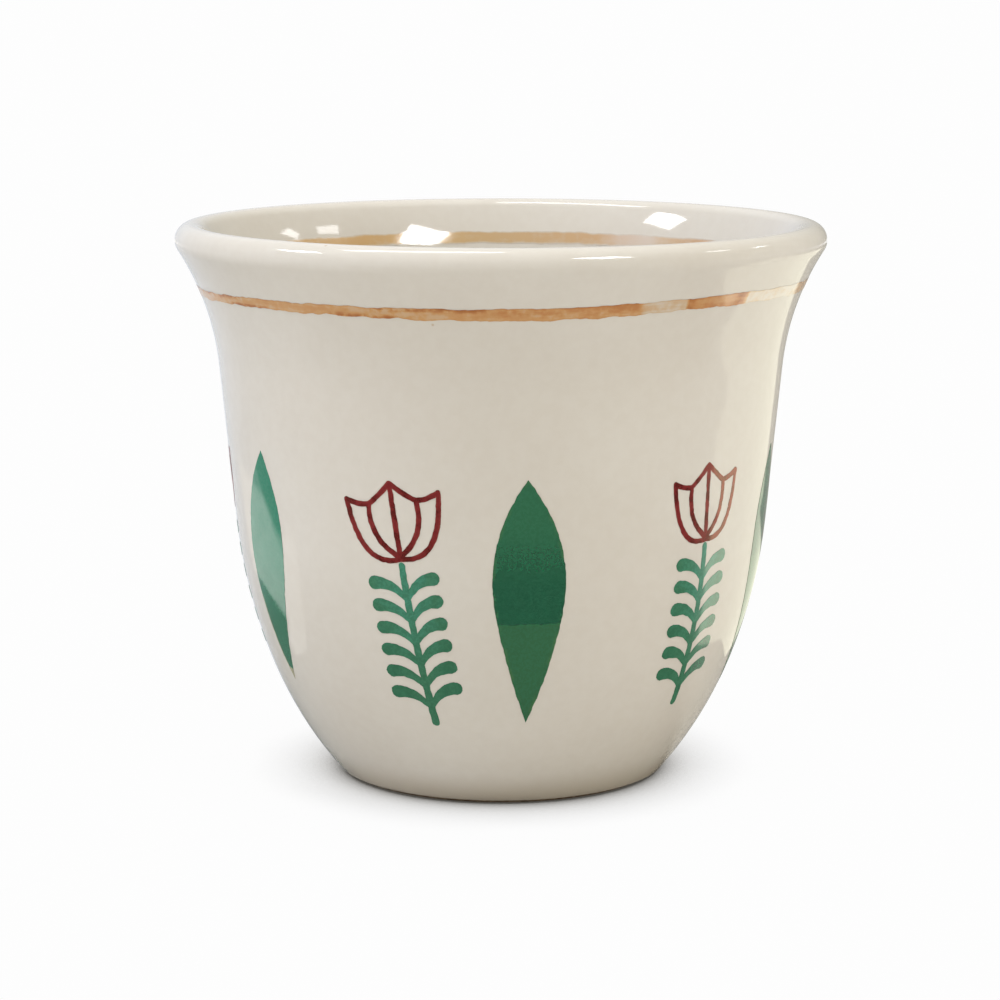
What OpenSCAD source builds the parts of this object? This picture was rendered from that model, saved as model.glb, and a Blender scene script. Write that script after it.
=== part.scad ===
// Small handleless coffee cup: a glazed ceramic bell with a rolled lip, two brushed lines and a
// painted border of leaves and tulips. It stands on its foot at z = 0, centred on the z axis,
// and the side that faces -y is the front.

/* [Cup] */
// Outside diameter over the rolled lip
rim_d = 66; // [60:1:72]
// Height from the table to the top of the lip
cup_h = 56.5; // [52:0.5:62]
// Diameter of the foot, where the outline of the wall reaches the table
foot_d = 33.4; // [30:0.2:37]
// Height at which the round bowl turns into the straight wall
bowl_h = 26.3; // [22:0.1:31]
// Thickness of the finished wall, with its glaze
wall_t = 2.8; // [2.2:0.1:3.4]
// Height of the floor inside above the table
floor_h = 5.2; // [4.6:0.1:7]
// Radius between the floor and the wall inside
corner_r = 8; // [5:0.5:10]
// Lean of the straight wall from upright, in degrees
wall_lean = 5.5; // [4:0.5:8]
// Fullness of the bowl, where 2 is a single arc from the foot to the wall
bowl_fullness = 2.15; // [2:0.05:2.4]

/* [Lip] */
// Thickness of the rolled lip
lip_t = 3.3; // [3:0.1:4]
// How far the middle of the lip stands outside the straight wall
lip_out = 1.4; // [0.8:0.1:2.4]
// Radius of the flare under the lip, on the outside
flare_r = 27; // [20:1:34]
// Radius of the flare under the lip, on the inside
mouth_r = 26; // [20:1:34]

/* [Foot] */
// Width of the bare clay ring that the cup stands on
ring_w = 2.2; // [1.6:0.1:3]
// Depth of the hollow inside the foot ring
well_depth = 1.7; // [1.3:0.1:2.2]
// Radius between the roof and the side of that hollow
well_r = 0.9; // [0.5:0.1:1.2]
// Lean of the side of that hollow from upright, in degrees
well_lean = 25; // [10:5:40]
// Radius of the foot ring's two edges
edge_r = 0.4; // [0.2:0.05:0.6]

/* [Glaze and enamel] */
// Thickness of the glaze
glaze_t = 0.3; // [0.2:0.05:0.4]
// Height above the table at which the glaze stops
bare_h = 0.45; // [0.3:0.05:0.8]
// Thickness of the painted enamel on the glaze
enamel_t = 0.1; // [0.05:0.01:0.15]

/* [Lines] */
// Drop of the middle of the outer line below the top of the lip
line_drop = 6.1; // [4.7:0.1:7.5]
// Drop of the middle of the inner line below the top of the lip
inner_line_drop = 4.1; // [4:0.1:6.5]
// Width of the outer line, measured upright
line_w = 1.1; // [0.8:0.1:1.6]
// Width of the inner line, measured upright
inner_line_w = 1.3; // [0.8:0.1:1.6]
// Tilt of the outer line from level, in degrees
line_tilt = 0.85; // [0:0.05:1]

/* [Leaves] */
// Length of a leaf
leaf_l = 24.6; // [20:0.2:27]
// Width of a leaf
leaf_w = 7; // [5:0.2:9]
// Height of the lower ends of leaves and sprigs above the table
border_h = 9.9; // [8:0.1:12]

/* [Tulips] */
// Width of a tulip, between the middles of its outer tips
tulip_w = 9.5; // [7:0.1:11]
// Height of a tulip, from its base to its middle tip
tulip_h = 7.4; // [6:0.1:8.4]
// Width of a tulip's brush line
tulip_line_w = 0.48; // [0.3:0.02:0.7]

/* [Sprigs] */
// Length of a sprig's stem
stem_l = 17.3; // [15:0.1:18]
// Width of the stem
stem_w = 0.75; // [0.5:0.05:1]
// Height of the lowest pair of leaflets above the stem's end
first_pair_h = 2.15; // [1:0.05:3]
// Drop of the highest pair of leaflets below the stem's top
last_pair_drop = 3.9; // [3.2:0.1:4.4]
// Distance from the stem to the middle of a leaflet's round end
leaflet_reach = 3.1; // [2.4:0.1:4]
// Rise of a leaflet from the stem to its round end
leaflet_rise = 1.75; // [1:0.05:2.4]
// Width of a leaflet at its round end
leaflet_w = 1.35; // [0.8:0.05:1.6]
// Gap between the stem and the line of its tulip
paint_gap = 0.06; // [0.04:0.01:0.2]

/* [Hidden] */

clay_color = "tan";
glaze_color = "ivory";
line_color = "peru";
leaf_color = "seagreen";
tulip_color = "brown";

// Facets round the cup, the turn of one facet along an outline's arc, and steps along a brush line
round_fn = 180;
arc_turn = 4;
lip_turn = 12;
curve_steps = 8;
cap_steps = 5;

// Place of each leaf and each tulip round the cup, turned from the front, with its lean and lift.
// All differ because they are painted by hand, and so do their sizes, the bow of each leaf and
// the turn of each tulip on its stem
leaf_turns = [-60.6, 6, 76.6, 151, 229];
leaf_leans = [-4.6, 0.9, 1, 2, -1];
leaf_lift_shares = [0.065, 0, 0.01, 0.02, -0.01];
leaf_length_shares = [0.971, 1, 1, 0.99, 1.01];
leaf_width_shares = [0.96, 1, 1.04, 1.03, 0.98];
leaf_bow_shares = [-0.05, 0.017, 0.02, -0.03, 0.02];
tulip_turns = [-86.5, -15.8, 47.5, 113, 190];
tulip_leans = [4.5, 7.3, 1.5, -1, 3];
tulip_nods = [-2, 0, 1.5, -2, 2];
tulip_lift_shares = [0.02, -0.033, 0, -0.01, -0.04];
tulip_width_shares = [1, 1, 0.93, 1.02, 0.97];

// Half of a leaf, from its lower tip to its widest place and on to its upper tip, as shares of
// half its width and of its length
leaf_low_shares = [[0, 0], [0.385, 0.145], [1, 0.43], [1, 0.59]];
leaf_high_shares = [[1, 0.59], [1, 0.737], [0.667, 0.873], [0, 1]];

// Right half of a tulip, as shares of half its width and of its height, each line as a curve
vein_shares = [[0, 0.03], [0, 0.3], [0, 0.7], [0, 1]];
inner_petal_shares = [[0, 0.03], [0.41, 0.19], [0.58, 0.43], [0.515, 0.75]];
outer_petal_shares = [[0, 0], [0.59, -0.07], [0.92, 0.21], [1, 0.83]];
middle_edge_shares = [[0.515, 0.75], [0.34, 0.82], [0.17, 0.91], [0, 1]];
side_edge_shares = [[0.515, 0.75], [0.68, 0.75], [0.84, 0.78], [1, 0.83]];

// Middle line of a leaflet, as shares of its reach and rise, and how the widths start and end
leaflet_shares = [[0, -0.1], [0.25, 0.62], [0.58, 0.99], [1, 1]];
leaflet_root_share = 0.35;
right_reach_share = 0.93;
stem_tip_share = 0.85;
pairs = 6;
pair_pitch = (stem_l - first_pair_h - last_pair_drop) / (pairs - 1);

// Points and centres of the outline, as [distance from the axis, height]
lip_r = lip_t / 2;
lip_mid = [rim_d / 2 - lip_r, cup_h - lip_r];
climb = [sin(wall_lean), cos(wall_lean)];
outward = [cos(wall_lean), -sin(wall_lean)];

// Middle of a flare that leaves a wall line lying gap inside the middle of the lip, and then
// touches the lip, so that its middle lies reach from the middle of the lip
function flare_middle(r, gap, reach) =
    lip_mid + outward * (r - gap) - climb * sqrt(reach * reach - (r - gap) * (r - gap));

// Direction of point p seen from the middle m, in degrees
function direction(m, p) = atan2(p.y - m.y, p.x - m.x);

// Middle of the arc that leaves p along way and passes through q, bending towards the axis
function arc_middle(p, way, q) =
    let (inward = [-way.y, way.x], w = q - p)
    p + inward * (w * w) / (2 * (inward * w));

// Middle of a round of radius r that rests on height h and touches an arc from inside
function round_middle(arc_mid, arc_r, r, h) =
    [arc_mid.x + sqrt(pow(arc_r - r, 2) - pow(h + r - arc_mid.y, 2)), h + r];

flare_mid = flare_middle(flare_r, lip_out, flare_r + lip_r);
mouth_mid = flare_middle(mouth_r, lip_out + wall_t, mouth_r - lip_r);
wall_top = flare_mid - outward * flare_r;
bowl_top = wall_top + climb * (bowl_h - wall_top.y) / climb.y;

// Two arcs join the foot to the straight wall, and meet at the knee with one common slope
foot_point = [foot_d / 2, 0];
span = bowl_top - foot_point;
foot_lean = wall_lean + bowl_fullness * (atan2(span.x, span.y) - wall_lean);
foot_way = [sin(foot_lean), cos(foot_lean)];
bend = 2 * (1 - foot_way * climb);
along = span * (foot_way + climb);
arm = (sqrt(along * along + bend * (span * span)) - along) / bend;
knee = (foot_point + foot_way * arm + bowl_top - climb * arm) / 2;
bowl_mid = arc_middle(foot_point, foot_way, knee);
belly_mid = arc_middle(bowl_top, climb, knee);
bowl_r = norm(foot_point - bowl_mid);
belly_r = norm(bowl_top - belly_mid);
knee_a = direction(bowl_mid, knee);
bare_a = asin((bare_h - bowl_mid.y) / bowl_r);

// Round in the floor's corner, and the foot ring's two edges
corner_mid = round_middle(bowl_mid, bowl_r - wall_t, corner_r, floor_h);
corner_a = direction(bowl_mid, corner_mid);
outer_edge_mid = round_middle(bowl_mid, bowl_r - glaze_t, edge_r, 0);
outer_edge_a = direction(bowl_mid, outer_edge_mid);
inner_edge_mid = outer_edge_mid - [ring_w, 0];
well_out = [cos(well_lean), sin(well_lean)];
well_up = [-sin(well_lean), cos(well_lean)];
well_foot = inner_edge_mid - well_out * (edge_r + glaze_t);
well_round_drop = (well_foot.y - (well_depth - well_r)) * well_out.y;
well_mid = [well_foot.x - (well_r - well_round_drop) / well_out.x, well_depth - well_r];
well_end = well_foot + well_up * (bare_h - well_foot.y) / well_up.y;

// Points along an arc from angle a to angle b
function arc(mid, r, a, b, turn = arc_turn) =
    let (steps = ceil(abs(b - a) / turn))
    [for (i = [0:steps]) let (t = a + (b - a) * i / steps) mid + r * [cos(t), sin(t)]];

function reversed(points) = [for (i = [1:len(points)]) points[len(points) - i]];

// The points after the first, for a stretch that starts where the last one ended
function onward(points) = [for (i = [1:len(points) - 1]) points[i]];

// Stretches of the surface, sunk by depth below the finished glaze
function wall_side(depth) = concat(
    arc(bowl_mid, bowl_r - depth, bare_a, knee_a),
    onward(arc(belly_mid, belly_r - depth, knee_a, -wall_lean)),
    [wall_top - outward * depth]);
function flare_side(depth) =
    arc(flare_mid, flare_r + depth, 180 - wall_lean, direction(flare_mid, lip_mid));
function lip_side(depth) =
    arc(lip_mid, lip_r - depth, direction(lip_mid, flare_mid), direction(mouth_mid, lip_mid), lip_turn);
function outside(depth) = concat(wall_side(depth), onward(flare_side(depth)));
function mouth_side(depth) =
    arc(mouth_mid, mouth_r - depth, direction(mouth_mid, lip_mid), 180 - wall_lean);
function inside(depth) = concat(
    arc(belly_mid, belly_r - wall_t + depth, -wall_lean, knee_a),
    onward(arc(bowl_mid, bowl_r - wall_t + depth, knee_a, corner_a)),
    onward(arc(corner_mid, corner_r + depth, corner_a, -90, 2 * arc_turn)),
    [[0, floor_h - depth]]);
function finished(depth) = concat(
    outside(depth),
    onward(lip_side(depth)),
    onward(mouth_side(depth)),
    inside(depth));

// Side and roof of the hollow in the foot, from where its glaze stops to the axis
function well(depth) = concat(
    [well_end + well_out * depth],
    arc(well_mid, well_r + depth, well_lean, 90, 4 * arc_turn),
    [[0, well_depth + depth]]);

module turned(points) {
    rotate_extrude($fn = round_fn)
        polygon(points);
}

// A coat between two depths, along the stretches given for each depth
module coat(inner, outer) {
    turned(concat(inner, reversed(outer)));
}

// The clay, with its bare foot ring
module clay_body() {
    color(clay_color)
        turned(concat(
            reversed(well(glaze_t)),
            arc(inner_edge_mid, edge_r, 180 + well_lean, 270, 4 * arc_turn),
            arc(outer_edge_mid, edge_r, -90, outer_edge_a, 4 * arc_turn),
            onward(arc(bowl_mid, bowl_r - glaze_t, outer_edge_a, bare_a)),
            onward(finished(glaze_t))));
}

// The glaze inside, over the lip and down the outside
module wall_glaze() {
    color(glaze_color)
        coat(finished(glaze_t), finished(0));
}

// The glaze in the hollow of the foot
module foot_well_glaze() {
    color(glaze_color)
        coat(well(glaze_t), well(0));
}

// The brushed line under the lip, a little out of level
module outer_line() {
    color(line_color)
        intersection() {
            coat(flare_side(0), flare_side(-enamel_t));
            translate([0, 0, cup_h - line_drop])
                rotate([0, -line_tilt, 0])
                    cylinder(h = line_w, r = rim_d, center = true, $fn = round_fn);
        }
}

// The brushed line inside the mouth
module inner_line() {
    color(line_color)
        intersection() {
            coat(mouth_side(0), mouth_side(-enamel_t));
            translate([0, 0, cup_h - inner_line_drop])
                cylinder(h = inner_line_w, r = rim_d, center = true, $fn = round_fn);
        }
}

// Enamel on the outside of the wall, in the outline of its children, which are drawn upright
// from their lower end, as seen from the front
module painted(turn, lean, lift) {
    intersection() {
        coat(outside(0), outside(-enamel_t));
        rotate([90, 0, turn])
            linear_extrude(rim_d)
                translate([0, border_h + lift])
                    rotate(lean)
                        children();
    }
}

function scaled(shares, size) = [for (s = shares) [s.x * size.x, s.y * size.y]];

// Points along a curve with four control points
function curve(c) =
    [for (i = [0:curve_steps])
        let (t = i / curve_steps, u = 1 - t)
        c[0] * pow(u, 3) + c[1] * 3 * u * u * t + c[2] * 3 * u * t * t + c[3] * pow(t, 3)];

// Outline of a brush line with round ends along points, from width w0 to width w1
function brush_line(points, w0, w1) =
    let (
        n = len(points) - 1,
        way = [for (i = [0:n]) direction(points[max(i - 1, 0)], points[min(i + 1, n)])],
        half = [for (i = [0:n]) (w0 + (w1 - w0) * i / n) / 2],
        side = [for (i = [0:n]) half[i] * [sin(way[i]), -cos(way[i])]])
    concat(
        [for (i = [1:n - 1]) points[i] + side[i]],
        arc(points[n], half[n], way[n] - 90, way[n] + 90, 180 / cap_steps),
        [for (i = [1:n - 1]) points[n - i] - side[n - i]],
        arc(points[0], half[0], way[0] + 90, way[0] + 270, 180 / cap_steps));

module brushed(c, w0, w1) {
    polygon(brush_line(curve(c), w0, w1));
}

// Outline of leaf i, bowed sideways by the most at half its length
module leaf_shape(i) {
    size = [leaf_w * leaf_width_shares[i] / 2, leaf_l * leaf_length_shares[i]];
    bow = leaf_w * leaf_bow_shares[i];
    side = concat(curve(scaled(leaf_low_shares, size)), onward(curve(scaled(leaf_high_shares, size))));
    outline = concat(side, [for (p = onward(reversed(onward(side)))) [-p.x, p.y]]);
    polygon([for (p = outline) [p.x + 4 * bow * p.y * (size.y - p.y) / pow(size.y, 2), p.y]]);
}

module tulip_shape(i) {
    size = [tulip_w * tulip_width_shares[i] / 2, tulip_h];
    brushed(scaled(vein_shares, size), tulip_line_w, tulip_line_w);
    for (side = [-1, 1])
        for (line = [inner_petal_shares, outer_petal_shares, middle_edge_shares, side_edge_shares])
            brushed(scaled(line, [side * size.x, size.y]), tulip_line_w, tulip_line_w);
}

module leaflet_shape(reach) {
    brushed(scaled(leaflet_shares, [reach, leaflet_rise]), leaflet_w * leaflet_root_share, leaflet_w);
}

module sprig_shape() {
    tip_w = stem_w * stem_tip_share;
    tip_h = stem_l - tulip_line_w / 2 - paint_gap - tip_w / 2;
    brushed([[0, stem_w / 2], [0, stem_l / 3], [0, 2 * stem_l / 3], [0, tip_h]], stem_w, tip_w);
    for (i = [0:pairs - 1])
        for (reach = [-leaflet_reach, leaflet_reach * right_reach_share])
            translate([0, first_pair_h + i * pair_pitch])
                leaflet_shape(reach);
}

module leaf(i) {
    color(leaf_color)
        painted(leaf_turns[i], leaf_leans[i], leaf_lift_shares[i] * leaf_l)
            leaf_shape(i);
}

module tulip(i) {
    color(tulip_color)
        painted(tulip_turns[i], tulip_leans[i], tulip_lift_shares[i] * stem_l)
            translate([0, stem_l])
                rotate(tulip_nods[i])
                    tulip_shape(i);
}

module sprig(i) {
    color(leaf_color)
        painted(tulip_turns[i], tulip_leans[i], tulip_lift_shares[i] * stem_l)
            sprig_shape();
}

clay_body();
wall_glaze();
foot_well_glaze();
outer_line();
inner_line();
for (i = [0:len(leaf_turns) - 1])
    leaf(i);
for (i = [0:len(tulip_turns) - 1])
    tulip(i);
for (i = [0:len(tulip_turns) - 1])
    sprig(i);
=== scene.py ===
from collections import Counter
import math

import bpy
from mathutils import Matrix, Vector
from mathutils.kdtree import KDTree


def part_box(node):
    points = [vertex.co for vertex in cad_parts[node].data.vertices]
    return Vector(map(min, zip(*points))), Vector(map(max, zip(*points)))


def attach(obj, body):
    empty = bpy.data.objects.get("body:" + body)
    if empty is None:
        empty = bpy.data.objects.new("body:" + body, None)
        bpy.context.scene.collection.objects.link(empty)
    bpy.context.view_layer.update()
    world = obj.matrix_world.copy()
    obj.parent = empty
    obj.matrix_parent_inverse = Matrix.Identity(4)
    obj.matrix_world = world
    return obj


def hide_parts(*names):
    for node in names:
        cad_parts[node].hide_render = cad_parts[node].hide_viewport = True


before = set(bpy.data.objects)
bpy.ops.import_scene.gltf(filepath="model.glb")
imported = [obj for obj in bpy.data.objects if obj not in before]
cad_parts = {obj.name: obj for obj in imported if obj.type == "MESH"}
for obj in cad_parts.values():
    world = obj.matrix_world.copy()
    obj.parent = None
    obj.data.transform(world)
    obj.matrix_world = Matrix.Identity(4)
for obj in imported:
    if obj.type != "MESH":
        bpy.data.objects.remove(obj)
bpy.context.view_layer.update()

# Clay body: one thick-walled bell of fired clay, made in a mould, with a foot ring that stays bare
# where it touched the kiln shelf. Its outline is drawn from a few arcs that run into each other.
rim_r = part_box("wall_glaze")[1].x
cup_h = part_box("wall_glaze")[1].z
foot_r = 0.0167
bowl_h = 0.0263
wall_t = 0.0028
floor_h = 0.0052
corner_r = 0.008
lip_r = 0.00165
lip_out = 0.0014
flare_r = 0.027
mouth_r = 0.026
wall_lean = 5.5
bowl_fullness = 2.15
ring_w = 0.0022
well_depth = 0.0017
well_r = 0.0009
well_lean = 25
edge_r = 0.0004
bare_h = 0.00045
glaze_t = 0.0003
spin_sides = 256
smooth_angle = 40
weld_gap = 1e-7
clay_tan = (0.34, 0.25, 0.16, 1)
clay_brown = (0.2, 0.135, 0.08, 1)
clay_roughness = 0.85
grit_scale = 2600
grit_bump = 0.4
bump_depth = 0.0001
noise_middle = (0.35, 0.65)


def direction(middle, point):
    """Direction of a point seen from the middle of an arc, in degrees."""
    return math.degrees(math.atan2(point.y - middle.y, point.x - middle.x))


def towards(angle):
    return Vector((math.cos(math.radians(angle)), math.sin(math.radians(angle))))


def arc(middle, radius, start, end, step=2):
    """Points along an arc, from one direction to another."""
    count = math.ceil(abs(end - start) / step)
    return [middle + radius * towards(start + (end - start) * i / count) for i in range(count + 1)]


def flare_middle(radius, gap, reach):
    """Middle of an arc that leaves a line lying gap inside the lip's middle and touches the lip."""
    return lip_mid + outward * (radius - gap) - climb * math.sqrt(reach ** 2 - (radius - gap) ** 2)


def arc_middle(point, way, end):
    """Middle of the arc that leaves a point along way and passes through end."""
    inward = Vector((-way.y, way.x))
    span = end - point
    return point + inward * span.dot(span) / (2 * inward.dot(span))


def round_middle(middle, radius, small, height):
    """Middle of a round that rests on a height and touches an arc from inside."""
    across = math.sqrt((radius - small) ** 2 - (height + small - middle.y) ** 2)
    return Vector((middle.x + across, height + small))


lip_mid = Vector((rim_r - lip_r, cup_h - lip_r))
climb = towards(90 - wall_lean)
outward = towards(-wall_lean)
flare_mid = flare_middle(flare_r, lip_out, flare_r + lip_r)
mouth_mid = flare_middle(mouth_r, lip_out + wall_t, mouth_r - lip_r)
wall_top = flare_mid - outward * flare_r
bowl_top = wall_top + climb * (bowl_h - wall_top.y) / climb.y

# The bowl is two arcs that meet at the knee with one common slope
foot_point = Vector((foot_r, 0))
rise = bowl_top - foot_point
foot_lean = wall_lean + bowl_fullness * (90 - direction(foot_point, bowl_top) - wall_lean)
foot_way = towards(90 - foot_lean)
bend = 2 * (1 - foot_way.dot(climb))
along = rise.dot(foot_way + climb)
arm = (math.sqrt(along ** 2 + bend * rise.dot(rise)) - along) / bend
knee = (foot_point + foot_way * arm + bowl_top - climb * arm) / 2
bowl_mid = arc_middle(foot_point, foot_way, knee)
belly_mid = arc_middle(bowl_top, climb, knee)
bowl_r = (foot_point - bowl_mid).length
belly_r = (bowl_top - belly_mid).length
knee_a = direction(bowl_mid, knee)
bare_a = math.degrees(math.asin((bare_h - bowl_mid.y) / bowl_r))
corner_mid = round_middle(bowl_mid, bowl_r - wall_t, corner_r, floor_h)
corner_a = direction(bowl_mid, corner_mid)

# The foot ring's two edges and the hollow inside it
outer_edge_mid = round_middle(bowl_mid, bowl_r - glaze_t, edge_r, 0)
outer_edge_a = direction(bowl_mid, outer_edge_mid)
inner_edge_mid = outer_edge_mid - Vector((ring_w, 0))
well_out = towards(well_lean)
well_up = towards(90 + well_lean)
well_foot = inner_edge_mid - well_out * (edge_r + glaze_t)
well_round_drop = (well_foot.y - (well_depth - well_r)) * well_out.y
well_mid = Vector((well_foot.x - (well_r - well_round_drop) / well_out.x, well_depth - well_r))
well_end = well_foot + well_up * (bare_h - well_foot.y) / well_up.y


def wall_side(depth):
    """The outside from where the glaze stops to the flare, sunk by depth below the glaze."""
    bowl = arc(bowl_mid, bowl_r - depth, bare_a, knee_a)
    belly = arc(belly_mid, belly_r - depth, knee_a, -wall_lean)
    steps = 10
    straight = [belly[-1].lerp(wall_top - outward * depth, i / steps) for i in range(1, steps + 1)]
    return bowl + belly[1:] + straight


def flare_side(depth):
    return arc(flare_mid, flare_r + depth, 180 - wall_lean, direction(flare_mid, lip_mid), step=1)


def mouth_side(depth):
    return arc(mouth_mid, mouth_r - depth, direction(mouth_mid, lip_mid), 180 - wall_lean, step=1)


def finished(depth):
    """The whole surface that is glazed together: up the outside, over the lip and down inside."""
    lip = arc(lip_mid, lip_r - depth, direction(lip_mid, flare_mid), direction(mouth_mid, lip_mid), step=7)
    belly = arc(belly_mid, belly_r - wall_t + depth, -wall_lean, knee_a)
    bowl = arc(bowl_mid, bowl_r - wall_t + depth, knee_a, corner_a)
    corner = arc(corner_mid, corner_r + depth, corner_a, -90, step=5)
    steps = 6
    floor = [corner[-1].lerp(Vector((0, floor_h - depth)), i / steps) for i in range(1, steps + 1)]
    mouth = mouth_side(depth)
    return (wall_side(depth) + flare_side(depth)[1:] + lip[1:] + mouth[1:] + belly + bowl[1:]
            + corner[1:] + floor)


def well(depth):
    """Side and roof of the hollow in the foot, from where its glaze stops to the axis."""
    roof = arc(well_mid, well_r + depth, well_lean, 90, step=6)
    return [well_end + well_out * depth] + roof + [Vector((0, well_depth + depth))]


def traced(name, outline, depth=0):
    """A chain of edges through the points of an outline, drawn upright and left in edit mode."""
    bpy.ops.object.select_all(action="DESELECT")
    bpy.ops.mesh.primitive_plane_add(size=glaze_t, location=(outline[0].x, depth, outline[0].y))
    bpy.ops.object.transform_apply(location=True)
    piece = bpy.context.object
    piece.name = name
    bpy.ops.object.mode_set(mode="EDIT")
    bpy.ops.mesh.merge(type="CENTER")
    for start, end in zip(outline, outline[1:]):
        step = end - start
        bpy.ops.mesh.extrude_region_move(TRANSFORM_OT_translate={"value": (step.x, 0, step.y)})
    bpy.ops.mesh.select_all(action="SELECT")
    return piece


def spun(name, outline, sides=spin_sides):
    """A piece turned round the z axis, from its outline."""
    piece = traced(name, outline)
    bpy.ops.mesh.spin(steps=sides, angle=math.tau, center=(0, 0, 0), axis=(0, 0, 1))
    bpy.ops.mesh.select_all(action="SELECT")
    bpy.ops.mesh.remove_doubles(threshold=weld_gap)
    bpy.ops.mesh.normals_make_consistent(inside=False)
    bpy.ops.object.mode_set(mode="OBJECT")
    bpy.ops.object.shade_smooth_by_angle(angle=math.radians(smooth_angle))
    return piece


class Wire:
    """A socket in a material's nodes. Sums on wires add Math nodes, and node() adds any other node."""

    def __init__(self, tree, socket=None):
        self.tree = tree
        self.socket = socket

    def node(self, kind, settings, sockets, output=0):
        made = self.tree.nodes.new(kind)
        for key, value in settings.items():
            if key == "stops":
                ramp = made.color_ramp
                while len(ramp.elements) < len(value):
                    ramp.elements.new(1)
                for element, (place, colour) in zip(ramp.elements, value):
                    element.position = place
                    element.color = colour
            else:
                setattr(made, key, value)
        for key, value in sockets.items():
            if isinstance(value, Wire):
                self.tree.links.new(value.socket, made.inputs[key])
            else:
                made.inputs[key].default_value = value
        return Wire(self.tree, made.outputs[output])

    def math(self, operation, first, second):
        return self.node("ShaderNodeMath", {"operation": operation}, {0: first, 1: second})

    def __add__(self, other):
        return self.math("ADD", self, other)

    def __radd__(self, other):
        return self.math("ADD", other, self)

    def __sub__(self, other):
        return self.math("SUBTRACT", self, other)

    def __rsub__(self, other):
        return self.math("SUBTRACT", other, self)

    def __mul__(self, other):
        return self.math("MULTIPLY", self, other)

    def __rmul__(self, other):
        return self.math("MULTIPLY", other, self)

    def __truediv__(self, other):
        return self.math("DIVIDE", self, other)

    def __abs__(self):
        return self.math("ABSOLUTE", self, 0)

    def range(self, low, high, new_low=0, new_high=1):
        """This value taken from one range to another with soft ends, and held at both ends."""
        return self.node("ShaderNodeMapRange", {"interpolation_type": "SMOOTHSTEP"},
                         {"Value": self, "From Min": low, "From Max": high,
                          "To Min": new_low, "To Max": new_high})

    def fade(self, low, high):
        """1 where this value is below low, and down to 0 where it is high."""
        return self.range(low, high, 1, 0)

    def mix(self, first, second):
        """One colour or the other, by this value."""
        return self.node("ShaderNodeMix", {"data_type": "RGBA"}, {0: self, 6: first, 7: second}, 2)

    def part(self, axis):
        """One coordinate of this place."""
        return self.node("ShaderNodeSeparateXYZ", {}, {"Vector": self}, axis)

    def noise(self, scale, detail=2, twist=0):
        """Cloudy noise over this place."""
        return self.node("ShaderNodeTexNoise", {},
                         {"Vector": self, "Scale": scale, "Detail": detail, "Distortion": twist})


def finish(name):
    """A new material, with a wire to build its nodes on and the node of its shader."""
    material = bpy.data.materials.new(name)
    material.use_nodes = True
    tree = material.node_tree
    return material, Wire(tree), tree.nodes["Principled BSDF"]


def feed(wire, shader, socket):
    """Links a wire to one of a shader's sockets."""
    wire.tree.links.new(wire.socket, shader.inputs[socket])


clay = spun("clay_body_fired", well(glaze_t)[::-1]
            + arc(inner_edge_mid, edge_r, 180 + well_lean, 270, step=15)
            + arc(outer_edge_mid, edge_r, -90, outer_edge_a, step=10)
            + arc(bowl_mid, bowl_r - glaze_t, outer_edge_a, bare_a)[1:]
            + finished(glaze_t)[1:])
bare_clay, wire, shader = finish("bare_clay")
place = wire.node("ShaderNodeTexCoord", {}, {}, "Object")
grit = place.noise(grit_scale, 4)
feed(grit.range(*noise_middle).mix(clay_brown, clay_tan), shader, "Base Color")
shader.inputs["Roughness"].default_value = clay_roughness
bump = wire.node("ShaderNodeBump", {}, {"Strength": grit_bump, "Distance": bump_depth, "Height": grit})
feed(bump, shader, "Normal")
clay.data.materials.append(bare_clay)
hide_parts("clay_body")
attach(clay, "root")

# Glaze: one glassy cream coat over the wall, the lip and the inside, which runs thin at the foot, where its
# darker, browner colour is also painted shade from the floor.
# It is poured in and dipped, so its tone drifts a little and it holds a few tan specks.
glaze_cream = (0.59, 0.552, 0.475, 1)
glaze_warm = (0.555, 0.51, 0.43, 1)
foot_glaze_thin_and_shade = (0.5, 0.445, 0.355, 1)
glaze_speck = (0.42, 0.3, 0.18, 1)
glaze_roughness = 0.06
glaze_ior = 1.5
drift_scale = 45
drift_share = 0.5
cloud_scale = 900
cloud_share = 0.35
cloud_range = (0.3, 0.7)
foot_thin_and_shade_heights = (0.0005, 0.004)
speck_scale = 260
speck_sizes = (0.02, 0.055)
speck_patch_scale = 130
speck_patches = (0.6, 0.64)
speck_share = 0.7
ripple_scale = 110
ripple_bump = 0.12

glaze = spun("wall_glaze_coat", finished(0) + finished(glaze_t)[::-1])
cream_glaze, wire, shader = finish("cream_glaze")
place = wire.node("ShaderNodeTexCoord", {}, {}, "Object")
height = place.part("Z")
drift = place.noise(drift_scale, 3).range(*noise_middle)
cloudy = place.noise(cloud_scale, 3).range(*cloud_range)
colour = (drift * drift_share + cloudy * cloud_share).mix(glaze_cream, glaze_warm)
# Darker and browner in the last few mm above the foot: thin glaze, and painted shade from the floor
colour = height.fade(*foot_thin_and_shade_heights).mix(colour, foot_glaze_thin_and_shade)
grains = wire.node("ShaderNodeTexVoronoi", {}, {"Vector": place, "Scale": speck_scale})
specks = grains.fade(*speck_sizes) * place.noise(speck_patch_scale, 1).range(*speck_patches)
feed((specks * speck_share).mix(colour, glaze_speck), shader, "Base Color")
shader.inputs["Roughness"].default_value = glaze_roughness
shader.inputs["IOR"].default_value = glaze_ior
ripples = place.noise(ripple_scale, 1)
bump = wire.node("ShaderNodeBump", {}, {"Strength": ripple_bump, "Distance": bump_depth, "Height": ripples})
feed(bump, shader, "Normal")
glaze.data.materials.append(cream_glaze)
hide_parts("wall_glaze")
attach(glaze, "root")

# Foot well glaze: the same glaze, wiped into the hollow under the foot, whose ring is then sponged
# clean again.
well_coat = spun("foot_well_coat", well(0) + well(glaze_t)[::-1])
well_coat.data.materials.append(cream_glaze)
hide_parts("foot_well_glaze")
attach(well_coat, "root")
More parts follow.
